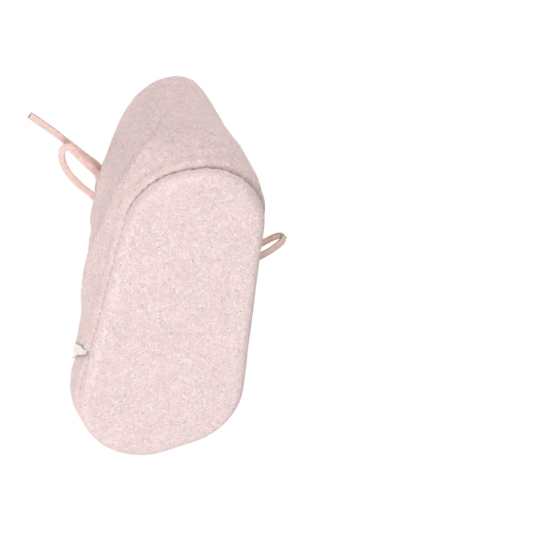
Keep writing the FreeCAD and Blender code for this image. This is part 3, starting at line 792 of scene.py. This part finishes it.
def make_knot(materials):
    """The bow's knot: one wrap of the lace over three crossed strands, with points from its middle."""
    pair = [materials["lace"], materials["lace_shaded_side"]]
    wrap = [
        (1.6, 2.6, -3.4), (1.2, -0.6, -4.1), (0.6, -3.4, -2.6), (0.0, -4.2, 0.2), (-0.4, -3.2, 3.0),
        (-1.0, -0.4, 4.0), (-1.6, 2.6, 2.6), (-1.2, 3.4, -0.4), (0.4, 2.8, -2.8),
    ]
    wrap_facings = [
        (0.1, 0.3, -1), (0.1, -0.6, -0.8), (0, -1, 0), (0, -0.6, 0.8), (0, 0.4, 0.9), (0, 1, 0),
        (0, 0.5, -0.9),
    ]
    strands = {
        "lace_knot_strand_a": [
            (5.6, -1.0, -1.0), (3.6, -2.0, 0.0), (1.2, -2.2, 0.6), (-1.6, -1.4, 0.4), (-4.6, -0.8, 1.2),
        ],
        "lace_knot_strand_b": [
            (5.4, 0.6, 1.6), (2.6, 0.4, 1.6), (0.0, 0.2, 0.0), (-2.8, 0.4, -1.4), (-5.2, -0.4, -1.6),
        ],
        "lace_knot_strand_c": [
            (2.6, 1.6, 3.0), (1.2, 1.8, 1.4), (0.0, 1.6, -1.0), (-1.4, 1.2, 1.2), (-3.4, 0.8, 2.8),
        ],
    }

    def strand(name, offsets, facings, *section):
        route = [KNOT + Vector(p) * MM for p in offsets]
        return flat_cord(name, spline_points(name, route), pair, facings, *section)

    over = strand("lace_knot_wrap", wrap, wrap_facings, 0.0019, 0.0010)
    place_piece(over, "boot", "lace", "lace_knot")
    for name, offsets in strands.items():
        place_piece(strand(name, offsets, [(0, -1, 0), (0, -1, 0)]), "boot", "lace")


# The sole

def make_disc(name, rings, materials):
    """A closed piece from rings, from the middle of its underside to the middle of its top."""
    count = rings.shape[1]
    points = np.concatenate((rings.reshape(-1, 3), rings[0].mean(0)[None], rings[-1].mean(0)[None]))
    faces = []
    for r in range(len(rings) - 1):
        for c in range(count):
            a, b = r * count + c, r * count + (c + 1) % count
            faces.append((a, b, b + count, a + count))
    low, high = len(points) - 2, len(points) - 1
    top = (len(rings) - 1) * count
    faces += [(low, (c + 1) % count, c) for c in range(count)]
    faces += [(high, top + c, top + (c + 1) % count) for c in range(count)]
    return make_mesh(name, points, faces, materials)


def outline_ring(angles, inset, height):
    """A ring inside the outline. Past the deepest parallel inset it shrinks towards the middle."""
    deepest, middle = 16.0, 30.0
    distance = reach(angles, min(inset, deepest))
    if inset > deepest:
        distance = distance * (1 - (inset - deepest) / (middle - deepest))
    x, y = distance * np.sin(angles), -distance * np.cos(angles)
    return np.stack((x, y, np.full_like(angles, height)), -1)


def outline_rings(angles, profile):
    """One ring for each pair of inset and height, and a column of the insets."""
    rings = np.array([outline_ring(angles, inset, height) for inset, height in profile])
    return rings, np.array([inset for inset, height in profile])[:, None]


def make_outsole(materials):
    """The felt sole: a flat bottom with a rounded edge, and a rim that turns in at the seam."""
    edge_radius, turn_in, seam_rise, floor = 3.8, 1.2, 0.25, 2.0
    wall = RIM_HEIGHT + seam_rise - edge_radius
    profile = [(inset, 0.0) for inset in (29.0, 26, 23, 20, 17, 15, 13, 11.5, 10, 8.5, 7, 5.8)]
    profile += [(edge_radius * (1 - math.sin(t)), edge_radius * (1 - math.cos(t)))
                for t in np.linspace(0.12, math.pi / 2, 14)]
    profile += [(turn_in * (1 - math.cos(t)), edge_radius + wall * math.sin(t))
                for t in np.linspace(0.2, math.pi / 2 + 0.5, 12)]
    profile += [(3.9, RIM_HEIGHT - 0.6), (5.0, RIM_HEIGHT - 2.4), (5.0, floor + 0.2)]
    profile += [(inset, floor) for inset in (8.0, 14.0, 22.0, 29.0)]
    angles = np.linspace(0, TURN, 360, endpoint=False)
    rings, inset = outline_rings(angles, profile)
    # The flat underside is a little hollow and uneven, and the rim is lumpy and gathered.
    under = rings[..., 2] < 1.0
    flat = rings * (1, 1, 0)
    hollow = 0.22 + 0.28 * lumps(flat, 24.0, 5.3) + 0.10 * lumps(flat, 8.0, 2.2)
    from_edge = np.clip((inset - 1.5) / 6.0, 0, 1)
    rings[..., 2] += np.where(under, np.maximum(hollow, 0) * from_edge, 0)
    side = bell(rings[..., 2], 3.4, 2.6) * (inset < 4.3)
    out = side * (0.20 * lumps(rings, 15.0, 1.4) + 0.08 * lumps(rings, 5.0, 6.1) - 0.1)
    gathered = (inset < 4.0) * (rings[..., 2] > 4.5)
    pucker = PUCKER_DEPTH * np.sin(angles * PUCKERS + 1.0) * gathered
    way = np.stack((np.sin(angles), -np.cos(angles), np.zeros_like(angles)), -1)
    rings += way * (out + pucker)[..., None]
    sole = make_disc("outsole_felt", rings, [materials["sole"]])
    place_piece(sole, "boot", "sole_felt", "outsole")


def make_insole(materials):
    """A foam pad and the cotton lining on it: bottom, top, rim's inset and how much the top crowns."""
    layers = (
        ("insole_pad", 2.25, 5.65, 5.4, 0.2, "foam", "wadding", "insole_foam"),
        ("insole_lining", 5.9, 7.1, 4.6, 1.0, "lining", "lining", "insole_sock"),
    )
    for name, bottom, top, rim, crowning, slot, cloth, node in layers:
        half = (top - bottom) / 2
        profile = [(i, bottom) for i in (29.0, 24.0, 18.0, 12.0, 8.0)]
        profile += [(rim + half * (1 - math.sin(t)), bottom + half * (1 - math.cos(t)))
                    for t in np.linspace(0.2, math.pi - 0.2, 9)]
        profile += [(i, top) for i in (7.5, 9.0, 11.0, 13.5, 16.0, 19.0, 22.0, 25.0, 29.0)]
        rings, inset = outline_rings(np.linspace(0, TURN, 180, endpoint=False), profile)
        crown = np.clip((inset - 6) / 14, 0, 1) * (rings[..., 2] > bottom + half)
        rings[..., 2] += crown * (0.5 + 0.35 * lumps(rings, 17.0, 7.7)) * crowning
        piece = make_disc(name, rings, [materials[cloth]])
        place_piece(piece, "boot", slot, node)


# The upper's panels

def punch(piece):
    """Cuts the four lace holes, with a round cutter from above the felt to below the lining."""
    above, below = -4, 9
    for side in (1, -1):
        for height in (LOWER_HOLE, UPPER_HOLE):
            start, end = hole_point(side, height, above), hole_point(side, height, below)
            length = (end - start).length
            bpy.ops.mesh.primitive_cylinder_add(vertices=40, radius=HOLE_RADIUS * MM, depth=length)
            cutter = bpy.context.object
            cutter.rotation_mode = "QUATERNION"
            cutter.rotation_quaternion = (end - start).to_track_quat("Z", "Y")
            cutter.location = (start + end) / 2
            cut = piece.modifiers.new("hole", "BOOLEAN")
            cut.solver = "EXACT"
            cut.object = cutter
            bpy.context.view_layer.update()
            evaluated = piece.evaluated_get(bpy.context.evaluated_depsgraph_get())
            mesh = bpy.data.meshes.new_from_object(evaluated)
            piece.modifiers.remove(cut)
            piece.data = mesh
            bpy.data.objects.remove(cutter)
    return piece


def make_upper(materials):
    """The quarter's three layers, the vamp's two, and the collar's rolled edge."""
    cloth, wadding, cotton = [materials["upper"]], [materials["wadding"]], [materials["lining"]]
    outside = around_back(0.0, 0.0, 0.998)
    between = around_back(OVERLAP + 2 * BUTT, 0.0, LAYERS_TOP)
    inside = around_back(BUTT, 0.0, LAYERS_TOP)
    quarter = panel("quarter_felt", outside, *QUARTER, 260, 110, cloth)
    padding = panel("quarter_padding", between, *MIDDLE, 90, 40, wadding)
    inner = panel("quarter_cotton", inside, *LINING, 180, 80, cotton)
    place_piece(punch(quarter), "boot", "upper_felt", "quarter")
    place_piece(punch(padding), "boot", "padding", "quarter_interlining")
    place_piece(punch(inner), "boot", "lining", "quarter_lining")
    over, under = over_toe(OVERLAP, 0.0, THROAT), over_toe(-BUTT, 0.0, THROAT)
    vamp = panel("vamp_felt", over, vamp_outer, vamp_inner, 150, 110, cloth)
    place_piece(vamp, "boot", "upper_felt", "vamp")
    vamp_cotton = panel("vamp_cotton", under, *LINING, 90, 60, cotton)
    place_piece(vamp_cotton, "boot", "lining", "vamp_lining")
    top_edge = around_back(0.0, COLLAR_BOTTOM, 1.006)
    collar = panel("collar_roll", top_edge, MIDDLE[0], LINING[1], 200, 14, cotton)
    place_piece(collar, "boot", "lining", "collar_edge")


def vamp_outer(angle, height):
    """The vamp is tucked under the quarter at its sides, and comes up level with it in front."""
    beside = edge_angle(height) - np.abs(wrapped(angle))
    ramp = 0.12 - 0.08 * np.exp(-height / 0.03)
    lift = 1.45
    return MIDDLE[0] - lift * smooth(beside / ramp - 0.1)


def vamp_inner(angle, height):
    return vamp_outer(angle, height) + MIDDLE[1] - MIDDLE[0]


def tongue_depth(extra):
    """The tongue's depth, and an extra one: it lies close at its root and clears the lining above."""
    def depth(angle, height):
        moved = smooth((height - TONGUE_BASE) / TONGUE_TURN)
        return TONGUE_LOW + (TONGUE_HIGH - TONGUE_LOW) * moved + extra
    return depth


def on_tongue(s, t):
    """The tongue is widest from its middle upwards, and its top corners are round."""
    height = TONGUE_BASE + (1 - TONGUE_BASE) * t
    half = TONGUE_ROOT_HALF + (TONGUE_TOP_HALF - TONGUE_ROOT_HALF) * np.minimum(2 * t, 1)
    corner_height, corner_share = 0.10, 0.22
    corner = np.clip((t - 1 + corner_height) / corner_height, 0, 1)
    half = half * (1 - corner_share * (1 - np.sqrt(1 - corner ** 2)))
    return half * (2 * s - 1), height


def make_tongue(materials):
    """The tongue's felt, and its lining of cotton."""
    felt_top, felt_under = tongue_depth(0.0), tongue_depth(TONGUE_FELT)
    cotton_top = tongue_depth(TONGUE_FELT + LAYER_GAP)
    cotton_under = tongue_depth(TONGUE_FELT + LAYER_GAP + TONGUE_COTTON)
    outer = panel("tongue_felt", on_tongue, felt_top, felt_under, 60, 60, [materials["upper"]])
    inner = panel("tongue_cotton", on_tongue, cotton_top, cotton_under, 50, 50, [materials["lining"]])
    place_piece(outer, "tongue", "upper_felt", "tongue")
    place_piece(inner, "tongue", "lining", "tongue_lining")


# Threads and tag

def stitch_mesh(name, places, material, node, length, radius):
    """Single stitches, each a short thread that bows out of the cloth. places: point, way and out."""
    corners, rings_count = 8, 7
    tip_radius, bow = 0.05, 0.42
    vertices, faces = [], []
    for point, way, out in places:
        start = len(vertices)
        side = way.cross(out)
        for r in range(rings_count):
            along = (r / (rings_count - 1) - 0.5) * 2
            thick = max(radius * (1 - along ** 4) ** 0.5, tip_radius)
            centre = point + way * (along * length / 2) - out * (bow * along ** 2)
            for c in range(corners):
                turn = TURN * c / corners
                vertices.append(centre + (side * math.cos(turn) + out * math.sin(turn)) * thick)
        for r in range(rings_count - 1):
            for c in range(corners):
                a, b = start + r * corners + c, start + r * corners + (c + 1) % corners
                faces.append((a, a + corners, b + corners, b))
        faces.append(tuple(start + c for c in range(corners)))
        faces.append(tuple(start + (rings_count - 1) * corners + c for c in reversed(range(corners))))
    piece = make_mesh(name, [tuple(v) for v in vertices], faces, [material])
    place_piece(piece, "boot", "thread", node)


def stitches_along(points, outs, spacing):
    """Evenly spaced stitch places on a line of points in millimetres, each a little askew."""
    points = np.asarray(points)
    gone = np.concatenate(([0], np.cumsum(np.linalg.norm(np.diff(points, axis=0), axis=1))))
    count = int(gone[-1] / spacing)
    places = []
    for n in range(count):
        at = (n + 0.5) * spacing
        low, middle, high = (np.array([np.interp(at + d, gone, points[:, k]) for k in range(3)])
                             for d in (-0.4, 0.0, 0.4))
        out = Vector([np.interp(at, gone, outs[:, k]) for k in range(3)]).normalized()
        way = Vector(high - low).normalized()
        way = (way + Vector([random.uniform(-0.05, 0.05) for k in range(3)])).normalized()
        places.append((Vector(middle), way, (out - way * out.dot(way)).normalized()))
    return places


def make_threads(materials):
    """Stitches in the sole seam, two rows beside each front edge, and a hem inside the collar."""
    seam_thread, thread = materials["seam_thread"], materials["thread"]
    angles = np.linspace(0, TURN, 721)
    valley = outline_ring(angles, 0.62, RIM_HEIGHT + 0.22)
    outs = np.stack((np.sin(angles), -np.cos(angles), np.zeros_like(angles)), -1)
    places = stitches_along(valley, outs, 3.2)
    stitch_mesh("sole_seam_stitches", places, seam_thread, "sole_seam_thread", 1.9, 0.25)
    for name, side in (("medial", 1), ("lateral", -1)):
        places = []
        heights = np.linspace(0.04, 0.57, 120)
        for beside in (1.6, 4.2):
            edge, step = edge_angle(heights), 0.02
            apart = np.linalg.norm(surface(edge + step, heights) - surface(edge, heights), axis=-1)
            row = side * (edge + beside * step / apart)
            places += stitches_along(skin(row, heights, 0.02), outward(row, heights), 2.6)
        stitch_mesh("quarter_stitches_" + name, places, thread, "quarter_stitch_" + name, 1.9, 0.22)
    start = edge_angle(1.0) + 0.08
    around = np.linspace(start, TURN - start, 300)
    heights = np.full_like(around, 0.935)
    hem = skin(around, heights, LINING[1] + 0.1)
    places = stitches_along(hem, -outward(around, heights), 3.4)
    stitch_mesh("collar_hem_stitches", places, thread, "collar_stitch", 2.2, 0.22)


def make_tag(materials):
    """A blank white tape, folded in half and caught under the quarter's edge."""
    def place(s, t):
        height = 0.02 + 0.15 * t
        far = 0.025 + 0.075 * t
        return edge_angle(height) - far + (far + 0.02) * s, height

    thickness = 0.42
    front, back = (panel(name, place, depth, depth + thickness, 16, 16, [materials["tag"]])
                   for name, depth in (("tag_front", -0.60), ("tag_back", -0.14)))
    place_piece(front, "boot", "tag", "side_tag")
    place_piece(back, "boot", "tag")


camera_up, camera_back = make_camera()
make_studio()
make_floor()
MATERIALS = make_materials()
make_laces(MATERIALS, camera_back, camera_up)
make_knot(MATERIALS)
make_ladder(MATERIALS)
make_outsole(MATERIALS)
make_insole(MATERIALS)
make_upper(MATERIALS)
make_tongue(MATERIALS)
make_threads(MATERIALS)
make_tag(MATERIALS)
